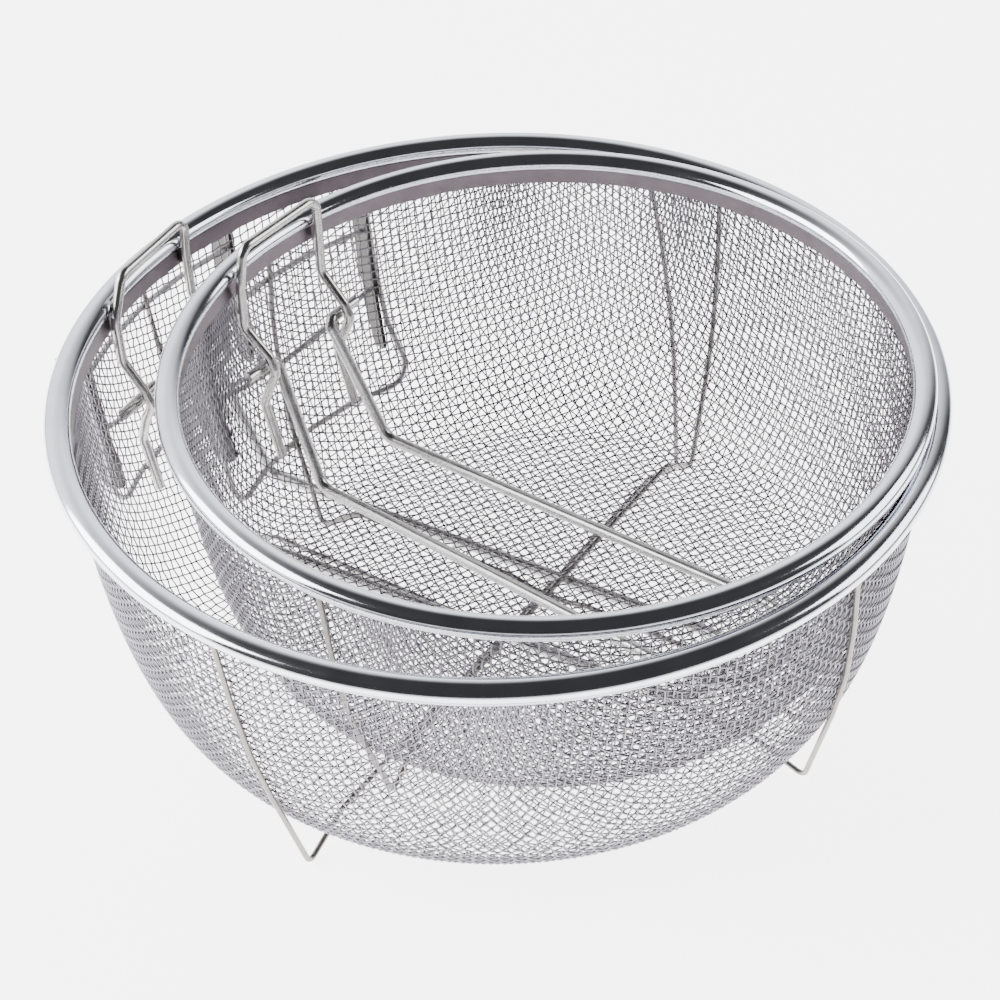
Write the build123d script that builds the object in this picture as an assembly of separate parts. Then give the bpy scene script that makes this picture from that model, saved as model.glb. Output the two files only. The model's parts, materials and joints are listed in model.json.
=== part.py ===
"""Two nested wire-mesh basket strainers with folding wire handles.

Every basket is designed about its own axis, with z = 0 at the centre of its
rolled rim and the handle's bracket at -X. place() then puts it in the row frame:
origin under the large rim's centre at the height of the feet, +Z up, millimetres.
"""

import os
from math import asin, cos, degrees, radians, sin, sqrt

from build123d import *

# hardware that both baskets share
MESH_T = 1.1  # two crossing mesh wires
BAND_T = 0.8
SHEET_T = 0.6
RIM_SHEET_T = 0.7
FOOT_D = 1.8
FRAME_D = 2.0
BRACKET_D = 3.3
HANDLE_D = 3.8
PLATE_T = 1.2
BRACKET_HALF = 17.5  # half of the top bar
BRACKET_IN = 7.0  # top bar inside the rim tube's centre
BRACKET_OFF = 5.85  # leg centre inside the rim tube's centre, along the radius
BRACKET_TOP = 10.0
KNEE_Z = -19.0
PIVOT_IN, PIVOT_Z = 12.8, -34.5
ARM_HALF = 13.0
PLATE_HALF = 40.5
PLATE_TOP, PLATE_STEP, PLATE_LOW = -9.0, -37.0, -61.5

LARGE = dict(
    rim_r=135.8, half_w=4.2, half_h=3.3, band_low=-7.2, hem_low=-5.5,
    bowl=[(133.6, -1.0), (126.4, -109.0), (102.3, -102.5), (92.0, -102.5)],
    foot_az=[(180.6, 177.2), (350.6, 357.2)], cross_az=[(97.8, 87.2), (263.0, 267.2)],
    foot_leave=-75.0, tip_r=112.5, tip_z=-111.777, under_r=94.0,
    frame_low=-65.5, frame_half=47.0, frame_off=3.35, plate_out=145.5,
    legs=[(-25.0, -24.0), (16.5, 17.5)], stubs=(33.0, 26.5),
    bend=(102.75, -87.4), handle_end=80.0, handle_rise=0.0,
    bend_half=16.5, end_half=16.5,
)
SMALL = dict(
    rim_r=116.25, half_w=3.75, half_h=3.1, band_low=-7.0, hem_low=-3.9,
    bowl=[(115.1, -1.0), (108.1, -104.3), (82.3, -89.5), (77.7, -89.5)],
    foot_az=[(179.5, 186.0), (366.0, 366.0)], cross_az=[(98.2, 96.0), (274.5, 276.0)],
    foot_leave=-68.0, tip_r=92.1, tip_z=-103.38, under_r=76.0,
    frame_low=-75.0, frame_half=45.0, frame_off=4.4, plate_out=126.0,
    legs=[(-21.0, -18.5), (17.5, 18.5)], stubs=(26.5, 27.0),
    bend=(83.4, -77.5), handle_end=90.0, handle_rise=6.1,
    bend_half=16.6, end_half=21.5,
)
SMALL_AT = (14.0, 5.9, 6.8)  # small rim centre from the large rim centre
SMALL_TURN = -8.8
FLOOR = 111.8  # large rim centre above the ground


def bowl_point(b, t):
    """The bowl's middle surface, as radius and height, from the rim at 0 to the flat at 1."""
    w = ((1 - t) ** 3, 3 * (1 - t) ** 2 * t, 3 * (1 - t) * t * t, t**3)
    return tuple(sum(k * p[i] for k, p in zip(w, b["bowl"])) for i in (0, 1))


def bowl_r(b, z):
    """The bowl's radius at a height."""
    low, high = 0.0, 0.8
    for _ in range(40):
        mid = (low + high) / 2
        low, high = (mid, high) if bowl_point(b, mid)[1] > z else (low, mid)
    return bowl_point(b, low)[0]


def polar(r, az, z):
    return (r * cos(radians(az)), r * sin(radians(az)), z)


def beside(r, y, z):
    """A point at radius r whose sideways distance from the bracket's centre is y."""
    return (-sqrt(r * r - y * y), y, z)


def wire(points, radii, diameter):
    """A round wire along straight runs joined by tangent bends."""
    path = FilletPolyline(*points, radius=radii)
    start = Plane(origin=path @ 0, z_dir=path % 0)
    return sweep(start * Circle(diameter / 2), path=path)


def spin(face):
    return revolve(Plane.XZ * face, Axis.Z)


def rim_tube(b):
    """An open roll: the hem, round the outside and top, and down to the band."""
    r, w, h, t = b["rim_r"], b["half_w"], b["half_h"], RIM_SHEET_T
    mesh = bowl_r(b, -h) - r
    first, last = mesh - MESH_T / 2 - 0.6, mesh + MESH_T / 2 + FOOT_D + 0.05
    roll = Ellipse(w, h) - Ellipse(w - t, h - t)
    slot = Pos((first + last) / 2, -h) * Rectangle(last - first, 2 * h)
    hem_top = -h + 0.5
    hem = Pos(last + SHEET_T / 2, (hem_top + b["hem_low"]) / 2) * Rectangle(
        SHEET_T, hem_top - b["hem_low"]
    )
    return spin(Pos(r, 0) * (roll - slot + hem))


def inner_band(b):
    top, low = 1.4 - b["half_h"], b["band_low"]
    r = bowl_r(b, top) - MESH_T / 2 - BAND_T - 0.03
    lean = bowl_r(b, low) - bowl_r(b, top)
    return spin(
        make_face(Polyline((r, top), (r + BAND_T, top), (r + BAND_T + lean, low),
                           (r + lean, low), close=True))
    )


def mesh_bowl(b):
    """The woven bowl as a plain shell of the weave's thickness."""
    middle = [bowl_point(b, i / 40) for i in range(41)]
    sides = []
    for side in (-MESH_T / 2, MESH_T / 2):
        run = []
        for i, (r, z) in enumerate(middle):
            a, c = middle[max(i - 1, 0)], middle[min(i + 1, 40)]
            tr, tz = c[0] - a[0], c[1] - a[1]
            n = sqrt(tr * tr + tz * tz)
            run.append((r - side * tz / n, z + side * tr / n))
        sides.append(run)
    inner, outer = sides
    low_in, low_out = inner[-1][1], outer[-1][1]
    outline = (
        Spline(*outer)
        + Line(outer[-1], (0, low_out))
        + Line((0, low_out), (0, low_in))
        + Line((0, low_in), inner[-1])
        + Spline(*inner[::-1])
        + Line(inner[0], outer[0])
    )
    return spin(make_face(outline))


def foot_run(b, top_az, tip_az, under_z):
    """One foot from inside the rim to under the bowl, as points and bend radii."""
    off = MESH_T / 2 + FOOT_D / 2 + 0.05
    leave = b["foot_leave"]
    points, radii = [], []
    for z, bend in ((-2.4, None), (-30.0, 150), (-54.0, 60), (leave, 12)):
        share = (z + 2.4) / (b["tip_z"] + 2.4)
        az = top_az + (tip_az - top_az) * share
        points.append(polar(bowl_r(b, z) + off, az, z))
        radii += [bend] if bend else []
    points += [polar(b["tip_r"], tip_az, b["tip_z"]), polar(b["under_r"], tip_az, under_z)]
    return points, radii + [2.5, 6.0]


def foot_wire(b, pair, dip):
    """One wire that makes two opposite feet and crosses under the bowl."""
    under = b["bowl"][3][1] - MESH_T / 2 - FOOT_D / 2
    (top_a, tip_a), (top_b, tip_b) = pair
    go, bends = foot_run(b, top_a, tip_a, under)
    back, _ = foot_run(b, top_b, tip_b, under)
    middle, knees = [], []
    if dip:
        middle = [
            polar(14, tip_a, under), polar(6, tip_a, under - dip),
            polar(6, tip_b, under - dip), polar(14, tip_b, under),
        ]
        knees = [5, 5, 5, 5]
    return wire(go + middle + back[::-1], bends + knees + bends[::-1], FOOT_D)


def handle_bracket(b):
    """The inverted U over the rim, with a hook bulge in each leg and its ends down the bowl."""
    r = b["rim_r"]
    inside = MESH_T / 2 + BRACKET_D / 2 + 0.1
    runs = []
    for high, low in b["legs"]:
        at_rim = sqrt((r - BRACKET_OFF) ** 2 - high * high)
        at_knee = sqrt((bowl_r(b, KNEE_Z) - inside - 0.6) ** 2 - high * high)
        run = [(-at_rim, high, -3.0), (-at_knee, high, KNEE_Z)]
        run += [(-(r - x), low, z) for x, z in ((15.6, -29.5), (18.0, -34.5), (15.0, -41.0))]
        for z in (-50.0, -70.0):
            run.append((-sqrt((bowl_r(b, z) - inside) ** 2 - low * low), low, z))
        runs.append(run)
    top = [(-(r - BRACKET_IN), s * BRACKET_HALF, BRACKET_TOP) for s in (-1, 1)]
    bends = [10, 6, 4, 3.0, 5, 6]
    return wire(runs[0][::-1] + top + runs[1], bends[::-1] + [4.5, 4.5] + bends, BRACKET_D)


def around(b, half, z, steps=4, sag=0.0, off=MESH_T / 2 + FOOT_D + FRAME_D / 2):
    """Points along a bar round the outside of the bowl, with its bend radii."""
    points = []
    for i in range(steps + 1):
        s = 2 * i / steps - 1
        height = z - sag * (1 - s * s)
        points.append(beside(bowl_r(b, height) + off, s * half, height))
    return points, [40] * (steps - 1)


def frame_wire(b):
    """The U-shaped wire outside the bowl: up beside the plates, wider at its low bar."""
    half = PLATE_HALF + PLATE_T / 2 + FRAME_D / 2
    bar, bends = around(b, b["frame_half"], b["frame_low"], off=b["frame_off"])
    off = MESH_T / 2 + FOOT_D + FRAME_D / 2
    arms = []
    for s in (-1, 1):
        arms.append([beside(bowl_r(b, z) + off, s * half, z) for z in (-10.0, -32.0, -52.0)])
    ends = [80, 30, 8]
    return wire(arms[0] + bar + arms[1][::-1], ends + bends + ends[::-1], FRAME_D)


def cross_bar(b, z, sag):
    half = PLATE_HALF - PLATE_T / 2
    points, bends = around(b, half, z, sag=sag)
    return wire(points, bends, FRAME_D)


def side_plate(b, side):
    """A stepped upright plate, edge on to the bowl."""
    off = MESH_T / 2 + 0.35
    inner = [(bowl_r(b, z) + off, z) for z in (PLATE_TOP, -25.0, -42.0, PLATE_LOW)]
    step_r = bowl_r(b, PLATE_STEP) + MESH_T / 2
    outer = [
        (bowl_r(b, PLATE_LOW) + MESH_T / 2 + 8.6, PLATE_LOW),
        (step_r + 8.9, PLATE_STEP - 2.5),
        (step_r + 11.0, PLATE_STEP),
        (b["plate_out"], PLATE_TOP - 1.0),
        (b["plate_out"] - 0.8, PLATE_TOP),
    ]
    face = make_face(Polyline(*inner, *outer, close=True))
    low = face.vertices().sort_by(Axis.Y)[:2]
    face = fillet(low, 2.8)
    blank = extrude(Plane.XZ * face, PLATE_T / 2, both=True)
    turn = degrees(asin(PLATE_HALF / b["rim_r"]))
    return Rot(0, 0, 180 - side * turn) * blank


def handle(b):
    """The folding handle: two pivot stubs, two cranked arms and a closed far end."""
    r = b["rim_r"] - PIVOT_IN
    bend_r, bend_z = b["bend"]
    end_z = bend_z + b["handle_rise"]
    arm = [
        (-r, ARM_HALF, PIVOT_Z), (-bend_r, b["bend_half"], bend_z),
        (b["handle_end"], b["end_half"], end_z),
    ]
    other = [(x, -y, z) for x, y, z in arm]
    left, right = b["stubs"]
    run = [(-r, right, PIVOT_Z), *arm, *other[::-1], (-r, -left, PIVOT_Z)]
    radii = [3, 6, b["end_half"] - 1.5]
    return wire(run, radii + radii[::-1], HANDLE_D)


def basket(b):
    """All of one basket's pieces in its own frame."""
    return {
        "rim_tube": rim_tube(b),
        "inner_band": inner_band(b),
        "mesh_bowl": mesh_bowl(b),
        "foot_wire_a": foot_wire(b, b["foot_az"], FOOT_D),
        "foot_wire_b": foot_wire(b, b["cross_az"], 0),
        "handle_bracket": handle_bracket(b),
        "frame_wire": frame_wire(b),
        "mid_bar": cross_bar(b, -38.0, 10.0),
        "top_bar": cross_bar(b, -16.0, 0.0),
        "side_plate_left": side_plate(b, -1),
        "side_plate_right": side_plate(b, 1),
        "handle": handle(b),
    }


def place(pieces, at, turn):
    where = Pos(*at) * Rot(0, 0, turn)
    return {name: where * piece for name, piece in pieces.items()}


def main():
    os.makedirs("parts", exist_ok=True)
    x, y, z = SMALL_AT
    sets = {
        "large": place(basket(LARGE), (0, 0, FLOOR), 0),
        "small": place(basket(SMALL), (x, y, FLOOR + z), SMALL_TURN),
    }
    for size, pieces in sets.items():
        for name, piece in pieces.items():
            export_step(piece, f"parts/{size}_{name}.step")
            box = piece.bounding_box()
            print(size, name, len(piece.solids()), piece.is_valid, box.min, box.max)


main()
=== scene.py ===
import json
from math import cos, pi, radians, sin

import bpy
import numpy as np
from mathutils import Matrix, Vector


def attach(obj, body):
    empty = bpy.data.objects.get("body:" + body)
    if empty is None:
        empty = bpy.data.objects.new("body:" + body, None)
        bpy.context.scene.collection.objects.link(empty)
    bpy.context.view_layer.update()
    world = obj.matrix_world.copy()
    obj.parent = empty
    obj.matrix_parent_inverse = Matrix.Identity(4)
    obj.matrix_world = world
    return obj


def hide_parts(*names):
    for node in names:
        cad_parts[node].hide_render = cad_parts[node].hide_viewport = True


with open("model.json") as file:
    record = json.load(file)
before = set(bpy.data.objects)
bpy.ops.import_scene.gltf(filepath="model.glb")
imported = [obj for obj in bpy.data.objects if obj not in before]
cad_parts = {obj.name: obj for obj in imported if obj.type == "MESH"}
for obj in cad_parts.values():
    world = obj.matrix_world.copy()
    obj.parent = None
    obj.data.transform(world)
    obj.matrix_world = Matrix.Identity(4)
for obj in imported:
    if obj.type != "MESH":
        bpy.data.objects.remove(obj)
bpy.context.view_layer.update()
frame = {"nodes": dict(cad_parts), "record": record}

# Lengths are in metres, in the row frame; the two baskets share one set of formulas.
WIRE_R = 0.00029  # mesh wire radius
WIRE_SIDES = 5
PITCH = 0.00305  # between crossings, along every mesh wire
CRIMP = 0.98  # how far each wire sways from the cloth's middle, in wire radii
SLOPE_STEP = 1e-4  # arc length over which the bowl's slope is taken
CLOTH_HALF = 0.00055  # half the thickness of two crossing wires
FOOT_D = 0.0018  # a foot wire passes between the mesh and the rim's hem
BAND_LAP = 0.0004  # how far the rim's lip reaches over the inner band
RIM_SHEET = 0.0006
LARGE = dict(
    name="large", at=(0.0, 0.0, 0.1118), turn=0.0,
    rim_r=0.1358, half_w=0.0042, half_h=0.0033, hem_low=-0.0055,
    bowl=((0.1336, -0.001), (0.1264, -0.109), (0.1023, -0.1025), (0.092, -0.1025)),
    cloth_turn=-15.0,
)
SMALL = dict(
    name="small", at=(0.014, 0.0059, 0.1186), turn=-8.8,
    rim_r=0.11625, half_w=0.00375, half_h=0.0031, hem_low=-0.0039,
    bowl=((0.1151, -0.001), (0.1081, -0.1043), (0.0823, -0.0895), (0.0777, -0.0895)),
    cloth_turn=-30.5,
)


# ---------------------------------------------------------------- meshes
def mesh_object(name, verts, quads, smooth=True):
    """A mesh object from an array of points and an array of four-cornered faces."""
    verts, quads = np.asarray(verts, np.float32), np.asarray(quads, np.int32)
    me = bpy.data.meshes.new(name)
    me.vertices.add(len(verts))
    me.vertices.foreach_set("co", verts.ravel())
    me.loops.add(quads.size)
    me.loops.foreach_set("vertex_index", quads.ravel())
    me.polygons.add(len(quads))
    me.polygons.foreach_set("loop_start", np.arange(len(quads), dtype=np.int32) * 4)
    me.polygons.foreach_set("use_smooth", np.full(len(quads), smooth))
    me.update(calc_edges=True)
    me.validate()
    ob = bpy.data.objects.new(name, me)
    bpy.context.collection.objects.link(ob)
    return ob


def bowl_table(b, n=400):
    """Arc length, radius and height along the bowl's middle surface, from centre to rim."""
    p = np.array(b["bowl"])
    t = np.linspace(1, 0, n)[:, None]
    u = 1 - t
    c = u**3 * p[0] + 3 * u**2 * t * p[1] + 3 * u * t * t * p[2] + t**3 * p[3]
    flat = np.stack([np.linspace(0, p[3][0], 60, endpoint=False), np.full(60, p[3][1])], axis=1)
    inside_rim = p[0] + (0.00001, 0.0026)
    c = np.concatenate([flat, c, [inside_rim]])
    arc = np.concatenate([[0], np.cumsum(np.linalg.norm(np.diff(c, axis=0), axis=1))])
    return arc, c[:, 0], c[:, 1], p[3][0]


def place(b, points):
    """Points about a basket's own axis, moved into the row frame."""
    a = radians(b["turn"])
    turn = np.array([[cos(a), -sin(a), 0], [sin(a), cos(a), 0], [0, 0, 1]])
    return points @ turn.T + np.array(b["at"])


def on_bowl(table, q):
    """The point of the bowl's surface at q, an arc length and direction from the centre."""
    arc, radius, height, flat = table
    s = np.hypot(q[..., 0], q[..., 1])
    r = np.interp(s, arc, radius) / np.maximum(s, 1e-9)
    return np.stack([r * q[..., 0], r * q[..., 1], np.interp(s, arc, height)], axis=-1)


def draped(b):
    """A quarter of the cloth's crossings, one pitch apart along both wires, on the bowl."""
    table = bowl_table(b)
    top = table[0][-1]
    n = int(top / PITCH) + 1
    k = np.arange(n + 1) * PITCH
    grid = np.full((n + 1, n + 1, 2), np.nan)
    grid[:, 0] = np.stack([k, 0 * k], axis=1)
    grid[0, :] = np.stack([0 * k, k], axis=1)
    grid[np.hypot(grid[..., 0], grid[..., 1]) > top] = np.nan
    step = 1e-6
    for d in range(2, 2 * n + 1):
        i = np.arange(max(1, d - n), min(n, d - 1) + 1)
        j = d - i
        before, left, right = grid[i - 1, j - 1], grid[i - 1, j], grid[i, j - 1]
        g, at_left, at_right = left + right - before, on_bowl(table, left), on_bowl(table, right)
        for _ in range(12):
            x = on_bowl(table, g)
            miss_a = ((x - at_left) ** 2).sum(-1) - PITCH**2
            miss_b = ((x - at_right) ** 2).sum(-1) - PITCH**2
            dp = (on_bowl(table, g + (step, 0)) - x) / step
            dq = (on_bowl(table, g + (0, step)) - x) / step
            ap, aq = 2 * ((x - at_left) * dp).sum(-1), 2 * ((x - at_left) * dq).sum(-1)
            bp, bq = 2 * ((x - at_right) * dp).sum(-1), 2 * ((x - at_right) * dq).sum(-1)
            det = ap * bq - aq * bp
            move = np.stack([bq * miss_a - aq * miss_b, ap * miss_b - bp * miss_a], -1)
            move = move / det[:, None]
            size = np.hypot(move[:, 0], move[:, 1])
            g = g - move * np.minimum(1, 0.5 * PITCH / np.maximum(size, 1e-12))[:, None]
        off = np.abs(np.linalg.norm(on_bowl(table, g) - at_left, axis=-1) - PITCH)
        bad = ~(off < 0.03 * PITCH) | ~(np.hypot(g[:, 0], g[:, 1]) <= top)
        g[bad] = np.nan
        grid[i, j] = g
    return table, grid


def woven(b, along_x):
    """One direction of the bowl's woven wires, each passing over and under the others."""
    table, quarter = draped(b)
    n, sides = len(quarter) - 1, WIRE_SIDES
    ring = np.arange(sides) * 2 * pi / sides
    a = radians(b["cloth_turn"])
    spin = np.array([[cos(a), sin(a)], [-sin(a), cos(a)]])
    verts, quads, base = [], [], 0
    for j in range(-n, n + 1):
        i = np.arange(-n, n + 1)
        q = quarter[np.abs(i), abs(j)] if along_x else quarter[abs(j), np.abs(i)]
        sign = np.stack([np.sign(i), np.full(len(i), np.sign(j))], axis=1)
        q = q * np.where(sign == 0, 1, sign)[:, :: 1 if along_x else -1]
        keep = np.isfinite(q[:, 0])
        i, q = i[keep], q[keep] @ spin
        if len(i) < 3:
            continue
        wave = np.where((i + j) % 2 == 0, 1.0, -1.0) * (1 if along_x else -1)
        point = on_bowl(table, q)
        s = np.hypot(q[:, 0], q[:, 1])
        out = q / np.maximum(s, 1e-9)[:, None]
        dr, dz = (
            np.interp(s + SLOPE_STEP, table[0], table[k])
            - np.interp(s - SLOPE_STEP, table[0], table[k])
            for k in (1, 2)
        )
        m = np.hypot(dr, dz)
        normal = np.stack([-dz / m * out[:, 0], -dz / m * out[:, 1], np.abs(dr) / m], axis=1)
        point = point + normal * (wave * WIRE_R * CRIMP)[:, None]
        along = np.gradient(point, axis=0)
        along /= np.linalg.norm(along, axis=1)[:, None]
        side = np.cross(along, normal)
        side /= np.linalg.norm(side, axis=1)[:, None]
        up = np.cross(side, along)
        loop = (
            point[:, None]
            + WIRE_R * np.cos(ring)[None, :, None] * up[:, None]
            + WIRE_R * np.sin(ring)[None, :, None] * side[:, None]
        )
        verts.append(loop.reshape(-1, 3))
        k, m = np.meshgrid(np.arange(len(i) - 1), np.arange(sides), indexing="ij")
        a0, a1 = base + k * sides + m, base + k * sides + (m + 1) % sides
        quads.append(np.stack([a0, a1, a1 + sides, a0 + sides], axis=-1).reshape(-1, 4))
        base += len(i) * sides
    name = f"{b['name']}_weave_{'a' if along_x else 'b'}"
    return mesh_object(name, place(b, np.concatenate(verts)), np.concatenate(quads))


def lathe(b, name, outline, steps=360):
    """A closed outline of radius and height, turned round the basket's axis."""
    o = np.array(outline)
    az = np.arange(steps) * 2 * pi / steps
    verts = np.stack(
        [o[None, :, 0] * np.cos(az)[:, None], o[None, :, 0] * np.sin(az)[:, None],
         np.broadcast_to(o[None, :, 1], (steps, len(o)))], axis=-1
    ).reshape(-1, 3)
    k, m = np.meshgrid(np.arange(steps), np.arange(len(o)), indexing="ij")
    k1, m1, n = (k + 1) % steps, (m + 1) % len(o), len(o)
    quads = np.stack([k * n + m, k1 * n + m, k1 * n + m1, k * n + m1], axis=-1).reshape(-1, 4)
    return mesh_object(name, place(b, verts), quads)


def bowl_radius(b, z):
    """The bowl's radius at a height on its wall."""
    arc, radius, height, flat = bowl_table(b)
    wall = arc > flat
    return float(np.interp(z, height[wall], radius[wall]))


def rim(b):
    """The rolled rim: hem, round the outside and top, and in to the band."""
    r, w, h, t = b["rim_r"], b["half_w"], b["half_h"], RIM_SHEET
    edge = bowl_radius(b, -h) - r
    hem = edge + CLOTH_HALF + FOOT_D + 0.00005
    lip = edge - CLOTH_HALF - BAND_LAP
    end = -np.arccos(np.clip(lip / w, -1, 1))
    start = -np.arccos(np.clip((hem + t) / w, -1, 1))
    sweep = np.linspace(start, end + 2 * pi, 44)
    outer = [(r + w * cos(q), h * sin(q)) for q in sweep]
    inner = [(r + (w - t) * cos(q), (h - t) * sin(q)) for q in sweep[::-1]]
    low = b["hem_low"]
    foot = [(r + hem, low + 0.0001), (r + hem + t / 2, low), (r + hem + t, low + 0.0001)]
    neck = [(r + hem + t, -h * 0.99)]
    return lathe(b, f"{b['name']}_rolled_rim", inner[-1:] + foot + neck + outer + inner[:-1])


# ---------------------------------------------------------------- materials
def metal(name, dark, light, rough, grain, wear=0.08, bump=0.0):
    """Stainless steel whose tone and gloss drift over the surface."""
    mat = bpy.data.materials.new(name)
    mat.use_nodes = True
    nt = mat.node_tree
    nodes, links = nt.nodes, nt.links
    bsdf = nodes["Principled BSDF"]
    bsdf.inputs["Metallic"].default_value = 1.0
    where = nodes.new("ShaderNodeTexCoord")
    fine = nodes.new("ShaderNodeTexNoise")
    fine.inputs["Scale"].default_value = grain
    fine.inputs["Detail"].default_value = 4.0
    broad = nodes.new("ShaderNodeTexNoise")
    broad.inputs["Scale"].default_value = 14.0
    links.new(where.outputs["Object"], fine.inputs["Vector"])
    links.new(where.outputs["Object"], broad.inputs["Vector"])
    mix = nodes.new("ShaderNodeMath")
    mix.operation = "ADD"
    links.new(fine.outputs["Fac"], mix.inputs[0])
    links.new(broad.outputs["Fac"], mix.inputs[1])
    ramp = nodes.new("ShaderNodeMapRange")
    ramp.inputs["From Min"].default_value = 0.6
    ramp.inputs["From Max"].default_value = 1.4
    links.new(mix.outputs[0], ramp.inputs["Value"])
    tone = nodes.new("ShaderNodeMix")
    tone.data_type = "RGBA"
    tone.inputs[6].default_value = (*dark, 1)
    tone.inputs[7].default_value = (*light, 1)
    links.new(ramp.outputs["Result"], tone.inputs[0])
    links.new(tone.outputs[2], bsdf.inputs["Base Color"])
    gloss = nodes.new("ShaderNodeMapRange")
    gloss.inputs["To Min"].default_value = max(0.02, rough - wear)
    gloss.inputs["To Max"].default_value = rough + wear
    links.new(fine.outputs["Fac"], gloss.inputs["Value"])
    links.new(gloss.outputs["Result"], bsdf.inputs["Roughness"])
    if bump:
        b = nodes.new("ShaderNodeBump")
        b.inputs["Strength"].default_value = bump
        b.inputs["Distance"].default_value = 0.0002
        links.new(fine.outputs["Fac"], b.inputs["Height"])
        links.new(b.outputs["Normal"], bsdf.inputs["Normal"])
    return mat


# slot: darkest and lightest tone, roughness, grain, drift of roughness, bump
STEELS = {
    "polished_rim": ((0.60, 0.615, 0.67), (0.78, 0.79, 0.84), 0.12, 90, 0.05),
    "band_sheet": ((0.130, 0.110, 0.122), (0.195, 0.168, 0.184), 0.38, 160, 0.08, 0.1),
    "mesh_wire": ((0.142, 0.134, 0.150), (0.248, 0.235, 0.262), 0.34, 120),
    "foot_steel": ((0.16, 0.15, 0.14), (0.27, 0.255, 0.24), 0.36, 200),
    "bracket_steel": ((0.42, 0.41, 0.40), (0.58, 0.565, 0.55), 0.25, 180),
    "frame_steel": ((0.34, 0.33, 0.325), (0.48, 0.465, 0.455), 0.40, 180),
    # painted shade: the plates' near-black tone is the shade on their inner faces, darkened into
    # the steel's colour
    "plate_steel": ((0.035, 0.032, 0.030), (0.075, 0.070, 0.066), 0.45, 150, 0.08, 0.1),
    "handle_steel": ((0.46, 0.45, 0.445), (0.64, 0.625, 0.62), 0.25, 180),
}
STEEL = {slot: metal(slot, *look) for slot, look in STEELS.items()}


def dress(ob, slot):
    """Give a piece its slot's steel."""
    ob.data.materials.clear()
    ob.data.materials.append(STEEL[slot])


SLOT_OF = {s["node"]: s["material_slot"] for s in frame["record"]["subparts"]}
for node, ob in frame["nodes"].items():
    dress(ob, SLOT_OF[node])

for b in (LARGE, SMALL):
    body = f"{b['name']}_basket"
    for along_x in (True, False):
        ob = woven(b, along_x)
        dress(ob, "mesh_wire")
        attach(ob, body)
        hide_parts(f"{b['name']}_mesh_bowl")
    ob = rim(b)
    dress(ob, "polished_rim")
    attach(ob, body)
    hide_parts(f"{b['name']}_rim_tube")


# ---------------------------------------------------------------- studio
# The camera's own directions; AHEAD is level and points away from it.
RIGHT, UP = Vector((0.8536, 0.5210, 0.0)), Vector((-0.3362, 0.5508, 0.7640))
AHEAD = Vector((-0.5210, 0.8536, 0.0))
SKY = Vector((0, 0, 1))
LAMP_AIM = Vector((0, 0, 0.08))
GLOW_CENTRE = (-0.068, 0.111, 0)  # a little behind the baskets
GLOW_INNER, GLOW_OUTER = 0.42, 0.75
WALL_GLOW, STUDIO_GLOW = 2.4, 0.06


def plain(name, tone, rough=0.6):
    """A matt grey or white whose tone drifts by one per cent."""
    mat = bpy.data.materials.new(name)
    mat.use_nodes = True
    nt = mat.node_tree
    bsdf = nt.nodes["Principled BSDF"]
    noise = nt.nodes.new("ShaderNodeTexNoise")
    noise.inputs["Scale"].default_value = 3.0
    mix = nt.nodes.new("ShaderNodeMix")
    mix.data_type = "RGBA"
    mix.inputs[6].default_value = (tone, tone, tone, 1)
    mix.inputs[7].default_value = (*[min(1, tone * 1.01)] * 3, 1)
    nt.links.new(noise.outputs["Fac"], mix.inputs[0])
    nt.links.new(mix.outputs[2], bsdf.inputs["Base Color"])
    bsdf.inputs["Roughness"].default_value = rough
    return mat


def card(name, centre, normal, size, mat):
    """A flat square studio panel."""
    h = size / 2
    m = Matrix.Translation(centre) @ Vector(normal).to_track_quat("Z", "Y").to_matrix().to_4x4()
    corners = [m @ Vector((x, y, 0)) for x, y in ((-h, -h), (h, -h), (h, h), (-h, h))]
    ob = mesh_object(name, corners, [[0, 1, 2, 3]], False)
    ob.data.materials.append(mat)


def lamp(name, at, power, size, size_y):
    """A soft rectangular light aimed at the baskets."""
    data = bpy.data.lights.new(name, "AREA")
    data.energy, data.size = power, size
    data.shape, data.size_y = "RECTANGLE", size_y
    ob = bpy.data.objects.new(name, data)
    bpy.context.collection.objects.link(ob)
    ob.location = at
    ob.rotation_euler = (LAMP_AIM - Vector(at)).to_track_quat("-Z", "Y").to_euler()


def glowing_floor(name, near, far):
    """A white floor that glows near the object and is plain white further off."""
    mat = plain(name, 0.90)
    nt = mat.node_tree
    where = nt.nodes.new("ShaderNodeTexCoord")
    length = nt.nodes.new("ShaderNodeVectorMath")
    length.operation = "LENGTH"
    fade = nt.nodes.new("ShaderNodeMapRange")
    fade.inputs["From Min"].default_value = GLOW_INNER
    fade.inputs["From Max"].default_value = GLOW_OUTER
    fade.inputs["To Min"].default_value = near
    fade.inputs["To Max"].default_value = far
    shift = nt.nodes.new("ShaderNodeVectorMath")
    shift.operation = "SUBTRACT"
    shift.inputs[1].default_value = GLOW_CENTRE
    nt.links.new(where.outputs["Object"], shift.inputs[0])
    nt.links.new(shift.outputs["Vector"], length.inputs[0])
    nt.links.new(length.outputs["Value"], fade.inputs["Value"])
    bsdf = nt.nodes["Principled BSDF"]
    bsdf.inputs["Emission Color"].default_value = (1, 1, 1, 1)
    nt.links.new(fade.outputs["Result"], bsdf.inputs["Emission Strength"])
    return mat


card("floor", (0, 0, -0.0005), (0, 0, 1), 30, glowing_floor("floor_white", 5.0, 0.5))

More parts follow.
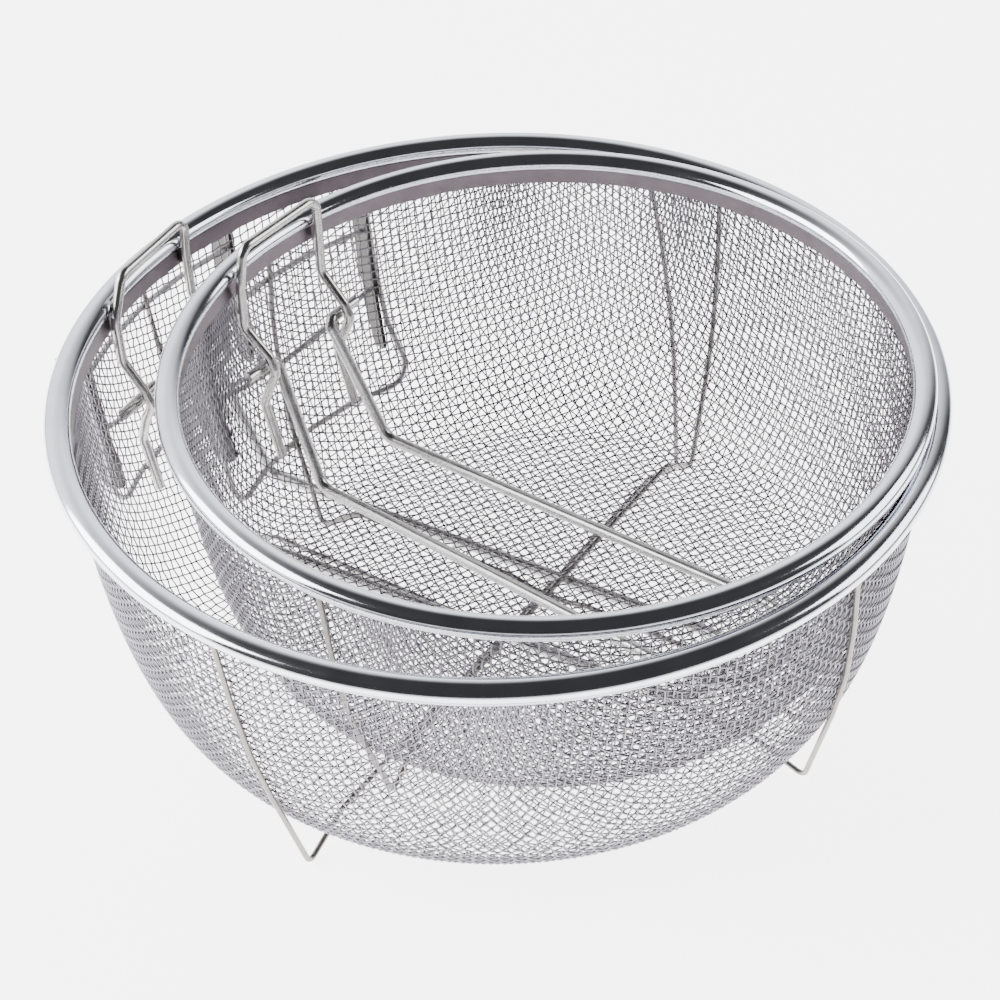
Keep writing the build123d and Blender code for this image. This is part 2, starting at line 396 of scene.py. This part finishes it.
world = bpy.data.worlds.new("studio")
bpy.context.scene.world = world
world.use_nodes = True
wt = world.node_tree
ray = wt.nodes.new("ShaderNodeTexCoord")
backdrop = wt.nodes.new("ShaderNodeVectorMath")  # a white wall behind the baskets
backdrop.operation = "DOT_PRODUCT"
backdrop.inputs[1].default_value = AHEAD * 0.86 - RIGHT * 0.51
split = wt.nodes.new("ShaderNodeSeparateXYZ")
wt.links.new(ray.outputs["Generated"], backdrop.inputs[0])
wt.links.new(ray.outputs["Generated"], split.inputs[0])


def ramp(source, low, high, at_low, at_high):
    """A smooth step from one value to another."""
    node = wt.nodes.new("ShaderNodeMapRange")
    node.interpolation_type = "SMOOTHSTEP"
    for key, value in zip(("From Min", "From Max", "To Min", "To Max"),
                          (low, high, at_low, at_high)):
        node.inputs[key].default_value = value
    wt.links.new(source, node.inputs["Value"])
    return node.outputs["Result"]


wall = wt.nodes.new("ShaderNodeMath")
wall.operation = "MULTIPLY_ADD"
wt.links.new(ramp(backdrop.outputs["Value"], 0.15, 0.80, 0.0, WALL_GLOW), wall.inputs[0])
wt.links.new(ramp(split.outputs["Z"], 0.50, 0.92, 1.0, 0.0), wall.inputs[1])
wall.inputs[2].default_value = STUDIO_GLOW
wt.links.new(wall.outputs[0], wt.nodes["Background"].inputs["Strength"])
wt.nodes["Background"].inputs["Color"].default_value = (0.97, 0.98, 1.0, 1)

lamp("left", RIGHT * -1.35 + SKY * 0.75, 48, 1.3, 1.1)
lamp("right", RIGHT * 1.45 + AHEAD * 0.2 + SKY * 0.8, 20, 1.1, 1.0)

# ---------------------------------------------------------------- camera
data = bpy.data.cameras.new("camera")
data.lens, data.sensor_width = 108.1, 36.0
data.clip_start, data.clip_end = 0.05, 60
camera = bpy.data.objects.new("camera", data)
bpy.context.collection.objects.link(camera)
roll = radians(2.05)
right = cos(roll) * RIGHT - sin(roll) * UP
up = sin(roll) * RIGHT + cos(roll) * UP
back = right.cross(up)
camera.matrix_world = Matrix.Translation((0.3818, -0.6260, 0.6850)) @ Matrix(
    ((right.x, up.x, back.x, 0), (right.y, up.y, back.y, 0), (right.z, up.z, back.z, 0),
     (0, 0, 0, 1))
)
bpy.context.scene.camera = camera
